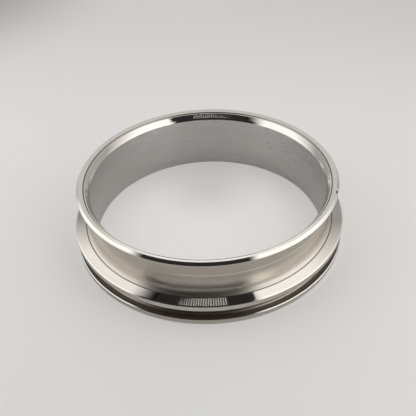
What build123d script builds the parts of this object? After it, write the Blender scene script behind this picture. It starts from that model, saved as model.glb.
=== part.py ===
"""Sanitary clamp ferrule: one ring, turned from a single piece of stainless steel.

A short thin-walled tube with a seal rim at the top, a waist for the clamp to grip, and
a shoulder at the foot with a seal groove in its outer face.

Frame: millimetres, the ring's axis is +Z, and the foot stands on z = 0.
"""
import os
from math import cos, radians, sin, tan

from build123d import *

# Tube
bore_d = 102.4            # straight bore
tube_wall = 1.9           # wall at the waist
height = 29.2             # foot to seal face
foot_break = 0.35         # broken edge between the bore and the foot

# Seal rim
rim_bevel_w = 1.0         # steep outer bevel of the rim, across
rim_bevel_h = 1.1         # and down
rim_edge_h = 0.2          # thin upright edge under the bevel
rim_back_angle = 20       # fall of the rim's conical back, degrees from level
seal_land_w = 0.3         # narrow flat seal face at the crest
seal_cone_w = 1.4         # shallow cone inside the seal face, across
seal_cone_h = 0.65        # and down
seal_step = 0.15          # fine step where the cone ends
inner_band_w = 0.8        # conical band inside the step, across
inner_band_h = 0.25       # and down
mouth_w = 1.7             # steep bevel that leads into the bore, across
mouth_h = 2.7             # and down
mouth_round_r = 1.0       # rounding between the inner band and the steep bevel

# Waist
hollow_r = 5.0            # hollow that runs the waist into the shoulder
hollow_turn = 46          # how far the hollow turns outward, degrees

# Shoulder
shoulder_overhang = 6.4   # shoulder and lip beyond the waist
back_step = 0.08          # fine turned step where the hollow ends
back_rise = 0.15          # rise of the shoulder's nearly level back, going outward
shoulder_bevel = 0.4      # between the back and the outer land, 45 degrees
shoulder_land_h = 2.3     # outer land above the groove

# Seal groove and lip
lip_h = 2.6               # foot to the lower wall of the groove
groove_w = 4.65           # between the groove's walls
groove_depth = 3.0        # in from the outer land
groove_corner = 0.4       # bottom corners, relieved at 45 degrees
edge_break = 0.25         # broken edges of the lip and the outer land

# Radii, from the bore outward
bore_r = bore_d / 2
mouth_r = bore_r + mouth_w
band_r = mouth_r + inner_band_w
cone_r = band_r + seal_cone_w
crest_r = cone_r + seal_land_w
rim_r = crest_r + rim_bevel_w
waist_r = bore_r + tube_wall
shoulder_r = waist_r + shoulder_overhang
groove_r = shoulder_r - groove_depth
turn = radians(hollow_turn)
back_in_r = waist_r + hollow_r * (1 - cos(turn))
back_out_r = shoulder_r - shoulder_bevel

# Heights, from the foot up to the waist
land_top = lip_h + groove_w + shoulder_land_h
back_out_z = land_top + shoulder_bevel
back_in_z = back_out_z - back_rise
hollow_end_z = back_in_z + back_step
hollow_z = hollow_end_z + hollow_r * sin(turn)

# Heights, from the seal face down to the waist and the bore
rim_bevel_z = height - rim_bevel_h
rim_edge_z = rim_bevel_z - rim_edge_h
rim_back_z = rim_edge_z - (rim_r - waist_r) * tan(radians(rim_back_angle))
cone_z = height - seal_cone_h
band_z = cone_z - seal_step
mouth_z = band_z - inner_band_h
bore_top = mouth_z - mouth_h

with BuildPart() as ferrule:
    # Half section beside the axis: sketch X is the radius, sketch Y is the height.
    with BuildSketch(Plane.XZ) as section:
        with BuildLine():
            Polyline(
                (bore_r, foot_break),
                (bore_r + foot_break, 0),
                (shoulder_r, 0),
                (shoulder_r, land_top),
                (back_out_r, back_out_z),
                (back_in_r, back_in_z),
                (back_in_r, hollow_end_z),
            )
            CenterArc((waist_r + hollow_r, hollow_z), hollow_r, 180, hollow_turn)
            Polyline(
                (waist_r, hollow_z),
                (waist_r, rim_back_z),
                (rim_r, rim_edge_z),
                (rim_r, rim_bevel_z),
                (crest_r, height),
                (cone_r, height),
                (band_r, cone_z),
                (band_r, band_z),
                (mouth_r, mouth_z),
                (bore_r, bore_top),
                (bore_r, foot_break),
            )
        make_face()
        mouth_corner = section.vertices().sort_by_distance((mouth_r, mouth_z))[0]
        fillet(mouth_corner, mouth_round_r)
    revolve(axis=Axis.Z)

    # Seal groove, turned into the shoulder's outer face.
    with BuildSketch(Plane.XZ) as groove:
        with Locations((groove_r, lip_h)):
            Rectangle(2 * groove_depth, groove_w, align=(Align.MIN, Align.MIN))
        groove_floor = groove.vertices().group_by(Axis.X)[0]
        chamfer(groove_floor, groove_corner)
    revolve(axis=Axis.Z, mode=Mode.SUBTRACT)

    # Broken edges: the lip's two and the outer land's lower one.
    outer_edges = ferrule.edges().filter_by(GeomType.CIRCLE).group_by(SortBy.RADIUS)[-1]
    chamfer(outer_edges.sort_by(Axis.Z)[:-1], edge_break)

ferrule.part.label = "ferrule"

os.makedirs("parts", exist_ok=True)
export_step(ferrule.part, "parts/ferrule.step")
print(f"bore {bore_d:.1f}, rim {2 * rim_r:.1f}, shoulder {2 * shoulder_r:.1f}, height {height:.2f}")
print(f"straight bore {bore_top - foot_break:.2f} long, land top {land_top:.2f}, hollow top {hollow_z:.2f}")
print(f"waist {2 * waist_r:.1f}, from {hollow_z:.2f} to {rim_back_z:.2f}, rim edge {rim_edge_z:.2f}")
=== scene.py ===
"""Looks of a turned stainless steel clamp ferrule, and the studio it stands in.

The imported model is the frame: the ring here has the same section and stands in the same
place. Metres, +Z up, the ring's axis on Z and its foot on z = 0.
"""
import math

import bpy
from mathutils import Matrix, Vector


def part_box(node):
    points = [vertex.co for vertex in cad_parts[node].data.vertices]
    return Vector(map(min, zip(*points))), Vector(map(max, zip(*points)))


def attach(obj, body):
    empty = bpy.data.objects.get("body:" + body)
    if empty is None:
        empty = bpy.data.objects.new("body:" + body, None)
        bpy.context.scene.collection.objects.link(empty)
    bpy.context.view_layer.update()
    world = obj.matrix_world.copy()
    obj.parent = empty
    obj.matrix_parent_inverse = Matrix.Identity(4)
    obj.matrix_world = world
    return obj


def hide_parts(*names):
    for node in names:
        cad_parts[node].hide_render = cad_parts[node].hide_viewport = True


bl_info = {
    "name": "Clamp Ferrule",
    "version": (1, 0, 0),
    "blender": (4, 5, 0),
    "location": "3D View > Sidebar > Ferrule",
    "description": "Builds a turned steel clamp ferrule and a small studio for it",
    "category": "Object",
}

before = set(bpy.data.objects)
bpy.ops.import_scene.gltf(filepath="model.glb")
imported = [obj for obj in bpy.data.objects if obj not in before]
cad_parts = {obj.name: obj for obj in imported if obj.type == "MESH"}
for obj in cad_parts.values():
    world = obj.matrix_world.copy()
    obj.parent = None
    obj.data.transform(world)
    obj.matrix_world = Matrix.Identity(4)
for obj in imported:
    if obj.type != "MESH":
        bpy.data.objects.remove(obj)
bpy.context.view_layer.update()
RING_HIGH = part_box("ferrule")[1]
MM = 0.001


# ---------------------------------------------------------------- sizes and colours


def length(name, text, millimetres):
    """A length property, given in millimetres and kept in metres."""
    return bpy.props.FloatProperty(
        name=name, description=text, default=millimetres * MM, min=0.0,
        unit="LENGTH", precision=5,
    )


def angle(name, text, degrees):
    """An angle property, given in degrees."""
    return bpy.props.FloatProperty(
        name=name, description=text, default=math.radians(degrees), unit="ROTATION",
    )


def colour(name, text, rgb):
    """A colour property, in linear values."""
    return bpy.props.FloatVectorProperty(
        name=name, description=text, default=rgb, size=3, min=0.0, max=1.0, subtype="COLOR",
    )


def amount(name, text, value):
    """A plain number property."""
    return bpy.props.FloatProperty(name=name, description=text, default=value)


class FerruleSizes(bpy.types.PropertyGroup):
    """The ring's section, from the bore outward and from the foot up."""

    shoulder_radius: bpy.props.FloatProperty(
        name="Shoulder radius", description="Outside of the shoulder and the lip",
        default=RING_HIGH[0], unit="LENGTH",
    )
    height: bpy.props.FloatProperty(
        name="Height", description="Foot to seal face",
        default=RING_HIGH[2], unit="LENGTH",
    )
    bore_radius: length("Bore radius", "Straight bore", 51.2)
    wall: length("Wall", "Tube wall at the waist", 1.9)
    foot_break: length("Foot break", "Broken edge between the bore and the foot", 0.35)
    rim_bevel_width: length("Rim bevel width", "Steep outer bevel, across", 1.0)
    rim_bevel_height: length("Rim bevel height", "Steep outer bevel, down", 1.1)
    rim_edge_height: length("Rim edge", "Thin upright edge under the bevel", 0.2)
    rim_back_angle: angle("Rim back", "Fall of the rim's conical back", 20)
    seal_land_width: length("Seal land", "Narrow flat at the crest", 0.3)
    seal_cone_width: length("Seal cone width", "Shallow cone inside the crest, across", 1.4)
    seal_cone_height: length("Seal cone height", "Shallow cone inside the crest, down", 0.65)
    seal_step: length("Seal step", "Fine step where the cone ends", 0.15)
    bead_depth: length("Bead groove", "Depth of the fine groove beside the step", 0.22)
    line_width: length("Shoulder line", "Width of the fine line where the hollow ends", 0.42)
    nick_turn: angle("Nick place", "Where the rim is nicked, round from +X", -17.6)
    nick_size: length("Nick size", "Reach of the nick in the rim", 1.9)
    nick_depth: length("Nick depth", "Depth of the nick in the rim", 0.6)
    band_width: length("Inner band width", "Band inside the step, across", 0.8)
    band_height: length("Inner band height", "Band inside the step, down", 0.25)
    mouth_width: length("Mouth width", "Steep bevel into the bore, across", 1.7)
    mouth_height: length("Mouth height", "Steep bevel into the bore, down", 2.7)
    mouth_round: length("Mouth rounding", "Between the band and the steep bevel", 0.6)
    hollow_radius: length("Hollow radius", "Waist to shoulder", 5.0)
    hollow_turn: angle("Hollow turn", "How far the hollow turns outward", 46)
    back_step: length("Back step", "Fine step where the hollow ends", 0.08)
    back_rise: length("Back rise", "Rise of the shoulder's nearly level back", 0.15)
    shoulder_bevel: length("Shoulder bevel", "Back to outer land, 45 degrees", 0.4)
    land_height: length("Land height", "Outer land above the groove", 2.3)
    lip_height: length("Lip height", "Foot to the groove", 2.6)
    groove_width: length("Groove width", "Between the groove's walls", 4.65)
    groove_depth: length("Groove depth", "In from the outer land", 3.0)
    groove_corner: length("Groove corner", "Bottom corners of the groove", 0.4)
    edge_break: length("Edge break", "Broken edges of the lip and the land", 0.25)
    segments: bpy.props.IntProperty(
        name="Segments", description="Steps round the ring", default=960, min=64,
    )


class FerruleFinish(bpy.types.PropertyGroup):
    """Colours and finishes of the steel."""

    satin: colour("Satin steel", "Waist and hollow", (0.62, 0.57, 0.51))
    bored: colour("Bored steel", "Inside of the bore", (0.74, 0.725, 0.705))
    bright: colour("Bright steel", "Polished bevels and lands", (0.74, 0.71, 0.655))
    turned: colour("Turned steel", "The shoulder's back", (0.60, 0.565, 0.51))
    # Painted shade: the bottoms of the fine lines are near-black steel.
    line: colour("Line steel", "Bottoms of the fine lines", (0.16, 0.15, 0.14))
    # Painted shade: darkened steel in the seal groove, the bead groove, on the foot and its
    # broken edge.
    shade: colour("Groove steel", "Dull steel in the seal groove", (0.36, 0.32, 0.28))


class FerruleStage(bpy.types.PropertyGroup):
    """The camera and the light."""

    view_distance: length("View distance", "Camera to the point it aims at", 272.65)
    view_elevation: angle("View elevation", "Camera above the horizon", 38.781)
    view_roll: angle("View roll", "Turn of the picture", -2.678)
    aim_side: bpy.props.FloatProperty(
        name="Aim side", description="Aim point along X", default=-0.000263, unit="LENGTH",
    )
    aim_height: length("Aim height", "Aim point above the floor", 9.8)
    lens: amount("Lens", "Focal length in millimetres", 52.1)
    floor: colour("Floor", "Plain pale floor", (0.97, 0.955, 0.93))
    lift: amount("Floor lift", "How far the camera sees the floor evened out", 0.4)
    left: amount("Left", "Brightness at the left", 1.35)
    right: amount("Right", "Brightness at the right", 1.45)
    ceiling: amount("Ceiling", "Brightness above", 0.70)
    back: amount("Back", "Brightness behind", 0.70)
    lamp: amount("Lamps", "Brightness of each lamp", 1.3)
    room: amount("Room", "Brightness of the room", 0.03)
    backdrop: amount("Backdrop", "Brightness the camera sees behind the floor", 0.76)


# ---------------------------------------------------------------- node helpers


class Value:
    """Wraps a number socket, so that node maths is written as plain expressions."""

    def __init__(self, graph, socket):
        self.graph = graph
        self.socket = socket

    def maths(self, operation, *terms):
        node = self.graph.tree.nodes.new("ShaderNodeMath")
        node.operation = operation
        for slot, term in zip(node.inputs, terms):
            self.graph.feed(slot, term)
        return Value(self.graph, node.outputs[0])

    def __add__(self, other):
        return self.maths("ADD", self, other)

    def __radd__(self, other):
        return self.maths("ADD", other, self)

    def __sub__(self, other):
        return self.maths("SUBTRACT", self, other)

    def __rsub__(self, other):
        return self.maths("SUBTRACT", other, self)

    def __mul__(self, other):
        return self.maths("MULTIPLY", self, other)

    def __rmul__(self, other):
        return self.maths("MULTIPLY", other, self)

    def __truediv__(self, other):
        return self.maths("DIVIDE", self, other)

    def __rtruediv__(self, other):
        return self.maths("DIVIDE", other, self)

    def __pow__(self, other):
        return self.maths("POWER", self, other)

    def __rpow__(self, other):
        return self.maths("POWER", other, self)

    def size(self):
        return self.maths("ABSOLUTE", self)

    def clamped(self, low=0.0, high=1.0):
        return self.maths("MINIMUM", self.maths("MAXIMUM", self, low), high)

    def ramp(self, low, high):
        """0 below low, 1 above high and smooth between."""
        return self.graph.add(
            "ShaderNodeMapRange", {"interpolation_type": "SMOOTHSTEP"},
            {"Value": self, "From Min": low, "From Max": high},
        )


class Graph:
    """A node tree that is built one call a node."""

    def __init__(self, tree):
        self.tree = tree

    def feed(self, socket, value):
        """Links a wrapped socket, or sets a plain value."""
        if isinstance(value, Value):
            self.tree.links.new(value.socket, socket)
        else:
            socket.default_value = value

    def add(self, kind, settings=None, inputs=None, output=0):
        """Adds a node: its settings first, then its sockets, and returns one output."""
        node = self.tree.nodes.new(kind)
        for name, value in (settings or {}).items():
            setattr(node, name, value)
        for name, value in (inputs or {}).items():
            self.feed(node.inputs[name], value)
        return Value(self, node.outputs[output])


def blend(graph, factor, first, second, mode="MIX"):
    """Mixes two colours."""
    node = graph.tree.nodes.new("ShaderNodeMix")
    node.data_type = "RGBA"
    node.blend_type = mode
    graph.feed(node.inputs[0], factor)
    graph.feed(node.inputs[6], first)
    graph.feed(node.inputs[7], second)
    return Value(graph, node.outputs[2])


def vector(graph, operation, *terms, scale=None, output="Vector"):
    """One vector operation."""
    node = graph.tree.nodes.new("ShaderNodeVectorMath")
    node.operation = operation
    for slot, term in zip(node.inputs, terms):
        graph.feed(slot, term)
    if scale is not None:
        graph.feed(node.inputs["Scale"], scale)
    return Value(graph, node.outputs[output])


def grey(graph, value):
    """A grey colour of that brightness."""
    parts = {"Red": value, "Green": value, "Blue": value}
    return graph.add("ShaderNodeCombineColor", {}, parts)


def rgba(rgb):
    """A colour with full alpha."""
    return (*rgb, 1.0)


def distance(across, depth):
    """Length of a flat step, from its two parts."""
    return (across * across + depth * depth) ** 0.5


# ---------------------------------------------------------------- materials


def new_material(name):
    """An empty node material and its graph."""
    material = bpy.data.materials.new(name)
    material.use_nodes = True
    material.node_tree.nodes.clear()
    return material, Graph(material.node_tree)


def round_the_ring(graph):
    """Radius and height of a point, and its direction from the axis, from object space."""
    point = graph.add("ShaderNodeTexCoord", output="Object")
    split = graph.add("ShaderNodeSeparateXYZ", inputs={"Vector": point}).socket.node
    x, y, z = (Value(graph, output) for output in split.outputs)
    radius = distance(x, y)
    return radius, z, x / radius, y / radius


def streaks(graph, across, along, detail=2.0, rough=0.5, seed=0.0):
    """Noise drawn out round the ring: fine across the section, long along the turn."""
    radius, height, east, north = round_the_ring(graph)
    where = graph.add(
        "ShaderNodeCombineXYZ", {},
        {"X": radius * across, "Y": height * across, "Z": east * along + seed},
    )
    return graph.add(
        "ShaderNodeTexNoise", {"noise_dimensions": "4D"},
        {
            "Vector": where, "W": north * along,
            "Scale": 1.0, "Detail": detail, "Roughness": rough,
        },
    )


def tool_lines(graph, slope):
    """A normal tilted across the turning lines by that slope, outward where it is positive."""
    east, north = round_the_ring(graph)[2:]
    flat = graph.add("ShaderNodeNewGeometry", output="Normal")
    round_way = graph.add("ShaderNodeCombineXYZ", {}, {"X": north * -1.0, "Y": east})
    across = vector(graph, "CROSS_PRODUCT", round_way, flat)
    tilt = vector(graph, "SCALE", across, scale=slope)
    return vector(graph, "NORMALIZE", vector(graph, "ADD", flat, tilt))


CLOUD_TONE = 0.5        # soft clouds in the tone, as a share of the mottling
CLOUD_GLOSS = 0.2       # and in the roughness, as a share of it
MICRO_SLOPE = 4.0       # slope of the finest tool lines, as a share of the spread
FINE_SLOPE = 0.35       # and of the wider ones


def turned_steel(name, tone, gloss, spread, lean=0.0, lines=0.06, mottling=0.06, marks=None):
    """Lathe-turned steel: fine lines round the ring, a little uneven in tone and gloss.

    gloss is the roughness along the turn, and spread the slope of the tool lines across
    it. lean is the slope that all of them share: it stands for turned steps that are too
    fine to model. The noises run round 0.5.
    """
    material, graph = new_material(name)
    micro = streaks(graph, across=42000.0, along=9.0, detail=0.0)
    fine = streaks(graph, across=2300.0, along=2.0)
    broad = streaks(graph, across=500.0, along=1.3, detail=3.0, seed=17.0)
    cloud = graph.add(
        "ShaderNodeTexNoise", {},
        {
            "Vector": graph.add("ShaderNodeTexCoord", output="Object"),
            "Scale": 90.0, "Detail": 4.0,
        },
    )
    shade = 1.0 + (fine - 0.5) * lines + (broad - 0.5) * mottling
    shade = shade + (cloud - 0.5) * mottling * CLOUD_TONE
    rough = gloss + (cloud - 0.5) * gloss * CLOUD_GLOSS
    slope = lean + (micro - 0.5) * (spread * MICRO_SLOPE) + (fine - 0.5) * (spread * FINE_SLOPE)
    if marks:
        shade, rough = marks(graph, shade, rough)
    steel = blend(graph, 1.0, rgba(tone), grey(graph, shade), mode="MULTIPLY")
    shader = graph.add(
        "ShaderNodeBsdfPrincipled", {},
        {
            "Base Color": steel, "Metallic": 1.0, "Roughness": rough.clamped(0.02, 1.0),
            "Normal": tool_lines(graph, slope),
        },
    )
    output = graph.tree.nodes.new("ShaderNodeOutputMaterial")
    graph.tree.links.new(shader.socket, output.inputs["Surface"])
    return material


def tool_mark(height, at, width):
    """1 on a thin line round the ring at that height."""
    return 1.0 - ((height - at) / width).size().clamped()


def painted_waist_highlights(graph, shade, gloss):
    """A turned tool line part way round the waist, painted as a pale highlight, and a painted
    highlight that lightens the front of the waist low down.
    """
    line_at, line_width, line_highlight_gain, front_highlight_gain = 19.9 * MM, 0.35 * MM, 0.6, 0.55
    height, east, north = round_the_ring(graph)[1:]
    # Painted highlight: the tool line is drawn pale, and only part way round the ring.
    line = tool_mark(height, line_at, line_width) * east.ramp(-0.35, -0.15)
    low = height.ramp(11.8 * MM, 13.6 * MM) * (1.0 - height.ramp(15.5 * MM, 18.5 * MM))
    # Painted highlight: a paler tone on the front of the waist, low down.
    painted_front_highlight = low * (north * -1.0).ramp(0.86, 0.95)
    return shade + line * line_highlight_gain + painted_front_highlight * front_highlight_gain, gloss


def painted_nick_shade(place, reach):
    """Paints shade round a nick: darkens the steel there."""
    core, darker, rougher = 0.35, 0.85, 0.3

    def marks(graph, shade, gloss):
        point = graph.add("ShaderNodeTexCoord", output="Object")
        away = vector(graph, "DISTANCE", point, place, output="Value")
        near = 1.0 - away.ramp(reach * core, reach)
        return shade - near * darker, gloss + near * rougher

    return marks


def bore_marks(graph, shade, gloss):
    """Short dark scratches that run round the bore, most of them at the right back."""
    darker, rougher, fewest = 0.4, 0.15, 0.2
    east, north = round_the_ring(graph)[2:]
    scratch = streaks(graph, across=2400.0, along=7.0, detail=2.0, rough=0.6, seed=3.0)
    patch = streaks(graph, across=110.0, along=1.8, detail=1.0, seed=41.0)
    side = (east * 0.8 + north * 0.6).ramp(-0.2, 0.9)
    mask = scratch.ramp(0.58, 0.68) * patch.ramp(0.48, 0.62)
    mask = mask * (fewest + side * (1.0 - fewest))
    return shade - mask * darker, gloss + mask * rougher


# ---------------------------------------------------------------- the ring


HOLLOW_STEPS = 28
MOUTH_STEPS = 14
SAME_POINT = 1e-7       # points of the section closer than this are one, in metres
SHARP_CORNER = 9        # corners sharper than this stay crisp, in degrees
BEAD_SHARES = (0.6, 0.4)    # the bead groove's bottom, between the band's two radii
THROAT_SHARE = 0.35     # up the steep bevel, where its finish changes
NICK_IN = 3.4 * MM      # the nick's middle, in from the shoulder's outside
NICK_DOWN = 0.8 * MM    # and below the seal face
NICK_FALL = 0.6         # how far the nick's push goes down, as a share of how far it goes in


def arc(centre, radius, start, end, steps):
    """Points of an arc, both ends included."""
    return [
        (
            centre[0] + radius * math.cos(start + (end - start) * i / steps),
            centre[1] + radius * math.sin(start + (end - start) * i / steps),
        )
        for i in range(steps + 1)
    ]


def rounded(before, corner, after, radius, steps):
    """A corner between two straight runs, rounded."""
    into = (Vector(before) - Vector(corner)).normalized()
    out = (Vector(after) - Vector(corner)).normalized()
    half = into.angle(out) / 2
    reach = radius / math.tan(half)
    centre = Vector(corner) + (into + out).normalized() * (radius / math.sin(half))
    first = Vector(corner) + into * reach - centre
    last = Vector(corner) + out * reach - centre
    start = math.atan2(first.y, first.x)
    turn = math.atan2(last.y, last.x) - start
    turn = (turn + math.pi) % (2 * math.pi) - math.pi
    return arc(centre, radius, start, start + turn, steps)


def section(s):
    """The ring's section as stretches of (finish, points).

    Each starts where the last ends.
    """
    bore = s.bore_radius
    mouth = bore + s.mouth_width
    band = mouth + s.band_width
    cone = band + s.seal_cone_width
    crest = cone + s.seal_land_width
    rim = crest + s.rim_bevel_width
    waist = bore + s.wall
    out = s.shoulder_radius
    groove = out - s.groove_depth
    corner = s.groove_corner
    cut = s.edge_break
    groove_top = s.lip_height + s.groove_width
    land_top = groove_top + s.land_height
    back_out = out - s.shoulder_bevel
    back_out_z = land_top + s.shoulder_bevel
    back_in = waist + s.hollow_radius * (1 - math.cos(s.hollow_turn))
    back_in_z = back_out_z - s.back_rise
    line_out = back_in + s.line_width
    line_mid = back_in + s.line_width / 2
    hollow_end = back_in_z + s.back_step
    hollow_z = hollow_end + s.hollow_radius * math.sin(s.hollow_turn)
    bevel_z = s.height - s.rim_bevel_height
    edge_z = bevel_z - s.rim_edge_height
    rim_back_z = edge_z - (rim - waist) * math.tan(s.rim_back_angle)
    cone_z = s.height - s.seal_cone_height
    band_z = cone_z - s.seal_step
    mouth_z = band_z - s.band_height
    bore_top = mouth_z - s.mouth_height
    hollow = arc(
        (waist + s.hollow_radius, hollow_z), s.hollow_radius,
        math.pi + s.hollow_turn, math.pi, HOLLOW_STEPS,
    )
    bead = (band * BEAD_SHARES[0] + mouth * BEAD_SHARES[1],
            (band_z + mouth_z) / 2 - s.bead_depth)
    mouth_turn = rounded((band, band_z), (mouth, mouth_z), (bore, bore_top), s.mouth_round,
                         MOUTH_STEPS)
    throat = (bore + (mouth - bore) * THROAT_SHARE, bore_top + s.mouth_height * THROAT_SHARE)
    # The shade, bead and line stretches take steel darkened as painted shade.
    return [
        ("shade", [(bore, s.foot_break), (bore + s.foot_break, 0.0), (out - cut, 0.0)]),
        ("land", [(out - cut, 0.0), (out, cut), (out, s.lip_height - cut),
                  (out - cut, s.lip_height)]),
        ("shade", [(out - cut, s.lip_height), (groove + corner, s.lip_height),
                   (groove, s.lip_height + corner), (groove, groove_top - corner),
                   (groove + corner, groove_top), (out - cut, groove_top)]),
        ("land", [(out - cut, groove_top), (out, groove_top + cut), (out, land_top)]),
        ("bright", [(out, land_top), (back_out, back_out_z)]),
        ("back", [(back_out, back_out_z), (line_out, back_in_z)]),
        ("bright", [(line_out, back_in_z), (line_mid, back_in_z - s.line_width / 2)]),
        ("line", [(line_mid, back_in_z - s.line_width / 2), (back_in, back_in_z),
                  (back_in, hollow_end)]),
        ("satin", hollow + [(waist, rim_back_z), (rim, edge_z)]),
        ("bright", [(rim, edge_z), (rim, bevel_z), (crest, s.height)]),
        ("crest", [(crest, s.height), (cone, s.height)]),
        ("seal", [(cone, s.height), (band, cone_z)]),
        ("bead", [(band, cone_z), (band, band_z), bead, mouth_turn[0]]),
        ("mouth", mouth_turn + [throat]),
        ("bright", [throat, (bore, bore_top)]),
        ("bored", [(bore, bore_top), (bore, s.foot_break)]),
    ]


def ring_outline(s, finishes):
    """The section as a closed mesh outline that knows the finish of each stretch."""
    points, marks = [], []
    for finish, stretch in section(s):
        for point in stretch[:-1]:
            if points and (Vector(point) - Vector(points[-1])).length < SAME_POINT:
                continue
            points.append(point)
            marks.append(finishes.index(finish))
    mesh = bpy.data.meshes.new("ferrule_section")
    count = len(points)
    edges = [(i, (i + 1) % count) for i in range(count)]
    mesh.from_pydata([(r, -z, 0.0) for r, z in points], edges, [])
    layer = mesh.attributes.new("finish", "INT", "POINT")
    layer.data.foreach_set("value", marks)
    return mesh


def turning_tree(materials):
    """Sweeps an outline, drawn as radius and height, round the Z axis."""
    tree = bpy.data.node_groups.new("Turned ring", "GeometryNodeTree")
    for name, kind in (("Geometry", "Geometry"), ("Segments", "Int"), ("Centre Radius", "Float"),
                       ("Nick Place", "Vector"), ("Nick Push", "Vector"), ("Nick Size", "Float")):
        tree.interface.new_socket(name, in_out="INPUT", socket_type="NodeSocket" + kind)
    tree.interface.new_socket("Geometry", in_out="OUTPUT", socket_type="NodeSocketGeometry")
    graph = Graph(tree)
    source = tree.nodes.new("NodeGroupInput")
    outline, segments, centre, nick, push, reach = (
        Value(graph, source.outputs[i]) for i in range(6)
    )
    shift = graph.add("ShaderNodeCombineXYZ", inputs={"X": centre * -1.0})
    moved = graph.add("GeometryNodeSetPosition", inputs={"Geometry": outline, "Offset": shift})
    profile = graph.add("GeometryNodeMeshToCurve", inputs={"Mesh": moved})
    path = graph.add("GeometryNodeCurvePrimitiveCircle", {"mode": "RADIUS"},
                     {"Resolution": segments, "Radius": centre})
    shape = graph.add("GeometryNodeCurveToMesh",
                      inputs={"Curve": path, "Profile Curve": profile})
    face = graph.add("GeometryNodeInputIndex")
    corner = graph.add("GeometryNodeCornersOfFace", inputs={"Face Index": face, "Sort Index": 0})
    vertex = graph.add("GeometryNodeVertexOfCorner", inputs={"Corner Index": corner})
    mark = graph.add("GeometryNodeInputNamedAttribute", {"data_type": "INT"},
                     {"Name": "finish"})
    finish = graph.add("GeometryNodeFieldAtIndex", {"data_type": "INT", "domain": "POINT"},
                       {"Index": vertex, "Value": mark})
    shape = graph.add("GeometryNodeFlipFaces", inputs={"Mesh": shape})
    place = graph.add("GeometryNodeInputPosition")
    away = vector(graph, "DISTANCE", place, nick, output="Value")
    dent = vector(graph, "SCALE", push, scale=(1.0 - away / reach).clamped())
    shape = graph.add("GeometryNodeSetPosition", inputs={"Geometry": shape, "Offset": dent})
    shape = graph.add("GeometryNodeRealizeInstances", inputs={"Geometry": shape})
    for index, material in enumerate(materials):
        mine = graph.add("FunctionNodeCompare", {"data_type": "INT", "operation": "EQUAL"})
        graph.feed(mine.socket.node.inputs[2], finish)
        graph.feed(mine.socket.node.inputs[3], index)
        shape = graph.add("GeometryNodeSetMaterial",
                          inputs={"Geometry": shape, "Selection": mine, "Material": material})
    end = tree.nodes.new("NodeGroupOutput")
    graph.feed(end.inputs[0], shape)
    return tree


def set_inputs(modifier, values):
    """Sets a geometry modifier's inputs by name, through their identifiers."""
    for item in modifier.node_group.interface.items_tree:
        if item.in_out == "INPUT" and item.name in values:
            modifier[item.identifier] = values[item.name]


def plain_mesh(name, base, tree, values):
    """Runs a node tree on a base mesh and returns the result as a plain object."""
    maker = bpy.data.objects.new(name + "_maker", base)
    bpy.context.scene.collection.objects.link(maker)
    modifier = maker.modifiers.new("Nodes", "NODES")
    modifier.node_group = tree
    set_inputs(modifier, values)
    graph = bpy.context.evaluated_depsgraph_get()
    mesh = bpy.data.meshes.new_from_object(maker.evaluated_get(graph), depsgraph=graph)
    maker.modifiers.remove(modifier)
    bpy.data.objects.remove(maker)
    if mesh.materials[0] is None:
        mesh.materials.pop(index=0)
    mesh.name = name
    piece = bpy.data.objects.new(name, mesh)
    bpy.context.scene.collection.objects.link(piece)
    return piece


class FERRULE_OT_ring(bpy.types.Operator):
    """Turn the steel ring"""

    bl_idname = "ferrule.ring"
    bl_label = "Turned Ring"

    def execute(self, context):
        sizes = context.scene.ferrule_sizes
        tones = context.scene.ferrule_finish
        turn = sizes.nick_turn
        rim = sizes.shoulder_radius - NICK_IN
        at = Vector((rim * math.cos(turn), rim * math.sin(turn), sizes.height - NICK_DOWN))
        push = Vector((math.cos(turn), math.sin(turn), NICK_FALL)) * -sizes.nick_depth
        # Painted shade darkens the steel round the nick in the rim.
        nick_shade = painted_nick_shade(at, sizes.nick_size)
        bright, shade = tones.bright, tones.shade
        finishes = {
            "satin": turned_steel("satin_steel", tones.satin, gloss=0.31, spread=0.12,
                                  lines=0.12, mottling=0.10, marks=painted_waist_highlights),
            "bored": turned_steel("bored_steel", tones.bored, gloss=0.30, spread=0.38,
                                  lines=0.07, mottling=0.08, marks=bore_marks),
            "bright": turned_steel("bright_steel", bright, gloss=0.06, spread=0.04,
                                   marks=nick_shade),
            "back": turned_steel("back_steel", tones.turned, gloss=0.05, spread=0.02,
                                 lean=0.78, lines=0.16),
            "land": turned_steel("land_steel", bright, gloss=0.14, spread=0.12),
            "crest": turned_steel("crest_steel", bright, gloss=0.08, spread=0.05, lean=-0.25),
            "seal": turned_steel("seal_steel", bright, gloss=0.12, spread=0.06, lean=0.17),
            "mouth": turned_steel("mouth_steel", bright, gloss=0.05, spread=0.02, lean=0.14),
            # Painted shade: the bead, line and groove steel are darkened where shade falls.
            "bead": turned_steel("bead_shade_steel", shade, gloss=0.25, spread=0.10),
            "line": turned_steel("line_shade_steel", tones.line, gloss=0.40, spread=0.10),
            "shade": turned_steel("groove_shade_steel", shade, gloss=0.35, spread=0.15),
        }
        outline = ring_outline(sizes, list(finishes))
        centre = sizes.bore_radius + sizes.wall / 2
        ring = plain_mesh("ferrule_turned", outline, turning_tree(finishes.values()),
                          {"Segments": sizes.segments, "Centre Radius": centre,
                           "Nick Place": at, "Nick Push": push, "Nick Size": sizes.nick_size})
        ring.data.shade_smooth()
        ring.data.set_sharp_from_angle(angle=math.radians(SHARP_CORNER))
        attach(ring, "root")
        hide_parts("ferrule")
        return {"FINISHED"}


# ---------------------------------------------------------------- the stage


FLOOR_GLOW = 0.84       # tone of the evened-out floor, as a share of the floor's
CARD_DIMMEST = 0.33     # a card never dims below this share
EDGE_SLANT = 0.45       # how far a card's front edge fades, as a share of the height
EDGE_LEAST = 0.01       # and at its foot, in metres


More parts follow.
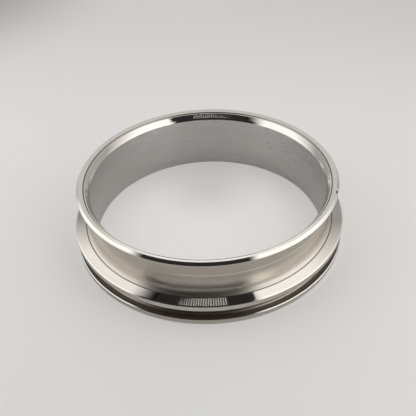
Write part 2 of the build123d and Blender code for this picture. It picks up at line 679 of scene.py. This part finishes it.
def floor_material(tone, lift):
    """Plain pale floor; the camera sees it evened out by lift, and wholly so far off.

    Painted shade makes it darker at the back, in the far left corner and just behind the
    ring's middle, and a painted pool of light makes it lighter inside the ring. Only
    reflections and bounced light see the painted shade toward the front.
    """
    material, graph = new_material("pale_floor")
    point = graph.add("ShaderNodeTexCoord", output="Object")
    split = graph.add("ShaderNodeSeparateXYZ", inputs={"Vector": point}).socket.node
    x, y = (Value(graph, output) for output in split.outputs[:2])
    seen = graph.add("ShaderNodeLightPath", output="Is Camera Ray")
    radius = distance(x, y)
    corner = distance(x + 0.26, y - 0.34)
    shade_patch_distance = distance(x, y - 0.030)
    # Painted shade: darker toward the back and in the far left corner.
    far = y.ramp(0.05, 0.32) * 0.15 + (1.0 - corner.ramp(0.03, 0.21)) * 0.42
    # Painted pool of light inside the ring, and painted shade just behind its middle.
    inside = (1.0 - radius.ramp(0.030, 0.052)) * 0.12
    behind = (1.0 - shade_patch_distance.ramp(0.0, 0.032)) * 0.20
    painted_shading = far - (inside - behind)
    # Painted shade toward the front, seen only by reflections and bounced light.
    near = (0.15 + y.ramp(-0.17, -0.08) * 0.85) * 0.90
    shade = (near + seen * (1.0 - near)) * (1.0 - painted_shading)
    glow_tone = rgba([part * FLOOR_GLOW for part in tone])
    body = graph.add(
        "ShaderNodeBsdfDiffuse", {},
        {"Color": blend(graph, 1.0, rgba(tone), grey(graph, shade), mode="MULTIPLY")},
    )
    # The camera's glow carries the same painted shade and pool of light.
    glow = graph.add(
        "ShaderNodeEmission", {},
        {"Color": blend(graph, 1.0, glow_tone, grey(graph, 1.0 - painted_shading), mode="MULTIPLY")},
    )
    mixed = graph.tree.nodes.new("ShaderNodeMixShader")
    graph.feed(mixed.inputs[0], seen * (lift + radius.ramp(0.38, 0.90) * (1.0 - lift)))
    graph.feed(mixed.inputs[1], body)
    graph.feed(mixed.inputs[2], glow)
    output = graph.tree.nodes.new("ShaderNodeOutputMaterial")
    graph.tree.links.new(mixed.outputs[0], output.inputs["Surface"])
    return material


def card_material(name, strength, start=0.0, fade=0.0, edge=-2.0):
    """A plain card that gives off soft light.

    Behind start it dims by the share fade a metre, and toward its front edge it
    dims softly, the more so the higher up.
    """
    material, graph = new_material(name)
    point = graph.add("ShaderNodeTexCoord", output="Object")
    split = graph.add("ShaderNodeSeparateXYZ", inputs={"Vector": point}).socket.node
    depth, height = (Value(graph, output) for output in split.outputs[1:])
    level = (1.0 - (depth - start) * fade).clamped(CARD_DIMMEST, 1.0)
    level = level * (depth - edge).ramp(0.0, height * EDGE_SLANT + EDGE_LEAST)
    shader = graph.add(
        "ShaderNodeEmission", {}, {"Color": grey(graph, level), "Strength": strength},
    )
    output = graph.tree.nodes.new("ShaderNodeOutputMaterial")
    graph.tree.links.new(shader.socket, output.inputs["Surface"])
    return material


def sheet(name, corners, material, faces=((0, 1, 2, 3),)):
    """A flat object from its corners."""
    mesh = bpy.data.meshes.new(name)
    mesh.from_pydata(corners, [], list(faces))
    mesh.materials.append(material)
    piece = bpy.data.objects.new(name, mesh)
    bpy.context.scene.collection.objects.link(piece)
    return piece


def card(name, corners, material):
    """A flat card, which the camera itself doesn't see."""
    piece = sheet(name, corners, material)
    piece.visible_camera = False


def wall(name, start, end, height, material):
    """An upright card over a line on the floor."""
    (x, y), (far_x, far_y) = start, end
    card(name, [(x, y, 0), (far_x, far_y, 0), (far_x, far_y, height), (x, y, height)], material)


def ceiling(name, corners, height, material):
    """A level card at that height."""
    card(name, [(x, y, height) for x, y in corners], material)


class FERRULE_OT_stage(bpy.types.Operator):
    """Lay the floor, hang the cards and lights, and set the camera"""

    bl_idname = "ferrule.stage"
    bl_label = "Stage"

    def execute(self, context):
        setup = context.scene.ferrule_stage
        self.lay_floor(setup)
        self.hang_cards(setup)
        self.light_room(context.scene, setup)
        self.set_camera(context.scene, setup)
        context.scene.view_settings.view_transform = "Standard"
        return {"FINISHED"}

    def lay_floor(self, setup):
        half = 1.5
        floor = sheet("floor", [(-half, -half, 0), (half, -half, 0), (half, half, 0),
                                (-half, half, 0)], floor_material(setup.floor, setup.lift))

    def hang_cards(self, setup):
        left, right, behind, high = -0.27, 0.22, 0.50, 0.45
        left_front, right_front = -0.22, -0.40
        fade, left_start, right_start = 4.4, 0.07, -0.04
        left_wall = card_material("left_card", setup.left, left_start, fade, left_front)
        right_wall = card_material("right_card", setup.right, right_start, fade, right_front)
        top = card_material("ceiling_card", setup.ceiling)
        back = card_material("back_card", setup.back)
        lamp = card_material("lamp", setup.lamp)
        wall("left_card", (left, left_front), (left, behind), high, left_wall)
        wall("right_card", (right, right_front), (right, behind), high, right_wall)
        wall("back_card", (left, behind), (right, behind), high, back)

        # A brighter low card, just in front of the back one.
        gain, middle_left, middle_right, middle_high = 1.6, -0.22, 0.16, 0.22
        middle_y = behind - 0.01
        wall("middle_card", (middle_left, middle_y), (middle_right, middle_y), middle_high,
             card_material("middle_card", setup.back * gain))

        # The ceiling stops short of the front, and a slot in its middle widens forward.
        slot, slot_back = 0.11, 0.0
        ceiling("ceiling_back", [(left, slot_back), (right, slot_back), (right, behind),
                                 (left, behind)], high, top)
        ceiling("ceiling_left", [(left, -0.10), (-slot - 0.03, -0.10), (-slot, slot_back),
                                 (left, slot_back)], high, top)
        ceiling("ceiling_right", [(slot + 0.04, -0.15), (right, -0.20), (right, slot_back),
                                  (slot, slot_back)], high, top)
        lamp_y, lamp_drop = -0.315, 0.005
        self.hang_lamps(lamp_y, high - lamp_drop, lamp)

    def hang_lamps(self, depth, height, material):
        """A strip of small separate lamps, left to right, turned to one place behind."""
        count, pitch, start = 20, 0.0130, -0.179
        reach, size = 0.03, 0.0032
        target = Vector((0.0, 0.175))
        corners, faces = [], []
        for i in range(count):
            first = 4 * i
            middle = Vector((start + i * pitch, depth))
            along = (middle - target).normalized() * reach
            wide = Vector((along.y, -along.x)).normalized() * (size / 2)
            corners += [(*(middle + step), height)
                        for step in (-along - wide, wide - along, along + wide, along - wide)]
            faces.append((first, first + 1, first + 2, first + 3))
        strip = sheet("lamps_front", corners, material, faces)
        strip.visible_camera = False

    def light_room(self, scene, setup):
        room_tone = (1.0, 0.995, 0.985)
        world = bpy.data.worlds.new("room")
        world.use_nodes = True
        world.node_tree.nodes.clear()
        graph = Graph(world.node_tree)
        seen = graph.add("ShaderNodeLightPath", output="Is Camera Ray")
        glow = graph.add(
            "ShaderNodeBackground", {},
            {"Color": rgba(room_tone),
             "Strength": setup.room + seen * (setup.backdrop - setup.room)},
        )
        output = world.node_tree.nodes.new("ShaderNodeOutputWorld")
        world.node_tree.links.new(glow.socket, output.inputs["Surface"])
        scene.world = world

    def set_camera(self, scene, setup):
        data = bpy.data.cameras.new("camera")
        data.sensor_width = 36.0
        data.lens = setup.lens
        data.clip_start = 0.005
        camera = bpy.data.objects.new("camera", data)
        scene.collection.objects.link(camera)
        rise, roll = setup.view_elevation, setup.view_roll
        aim = Vector((setup.aim_side, 0.0, setup.aim_height))
        forward = Vector((0.0, math.cos(rise), -math.sin(rise)))
        side = Vector((1.0, 0.0, 0.0))
        up = Vector((0.0, math.sin(rise), math.cos(rise)))
        turned_side = side * math.cos(roll) + up * math.sin(roll)
        turned_up = up * math.cos(roll) - side * math.sin(roll)
        turn = Matrix((turned_side, turned_up, -forward)).transposed().to_4x4()
        camera.matrix_world = Matrix.Translation(aim - forward * setup.view_distance) @ turn
        scene.camera = camera


# ---------------------------------------------------------------- panel and run


class FERRULE_PT_panel(bpy.types.Panel):
    """Lists the ferrule's tools and sizes"""

    bl_idname = "FERRULE_PT_panel"
    bl_label = "Clamp Ferrule"
    bl_space_type = "VIEW_3D"
    bl_region_type = "UI"
    bl_category = "Ferrule"

    def draw(self, context):
        layout = self.layout
        for operator in (FERRULE_OT_ring, FERRULE_OT_stage):
            layout.operator(operator.bl_idname)
        for group in (context.scene.ferrule_sizes, context.scene.ferrule_finish,
                      context.scene.ferrule_stage):
            box = layout.box()
            for name in group.__annotations__:
                box.prop(group, name)


CLASSES = (FerruleSizes, FerruleFinish, FerruleStage, FERRULE_OT_ring, FERRULE_OT_stage,
           FERRULE_PT_panel)


def register():
    for cls in CLASSES:
        bpy.utils.register_class(cls)
    bpy.types.Scene.ferrule_sizes = bpy.props.PointerProperty(type=FerruleSizes)
    bpy.types.Scene.ferrule_finish = bpy.props.PointerProperty(type=FerruleFinish)
    bpy.types.Scene.ferrule_stage = bpy.props.PointerProperty(type=FerruleStage)


def unregister():
    del bpy.types.Scene.ferrule_sizes
    del bpy.types.Scene.ferrule_finish
    del bpy.types.Scene.ferrule_stage
    for cls in reversed(CLASSES):
        bpy.utils.unregister_class(cls)


def main():
    """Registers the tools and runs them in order."""
    register()
    bpy.ops.ferrule.stage()
    bpy.ops.ferrule.ring()


if __name__ == "__main__":
    main()
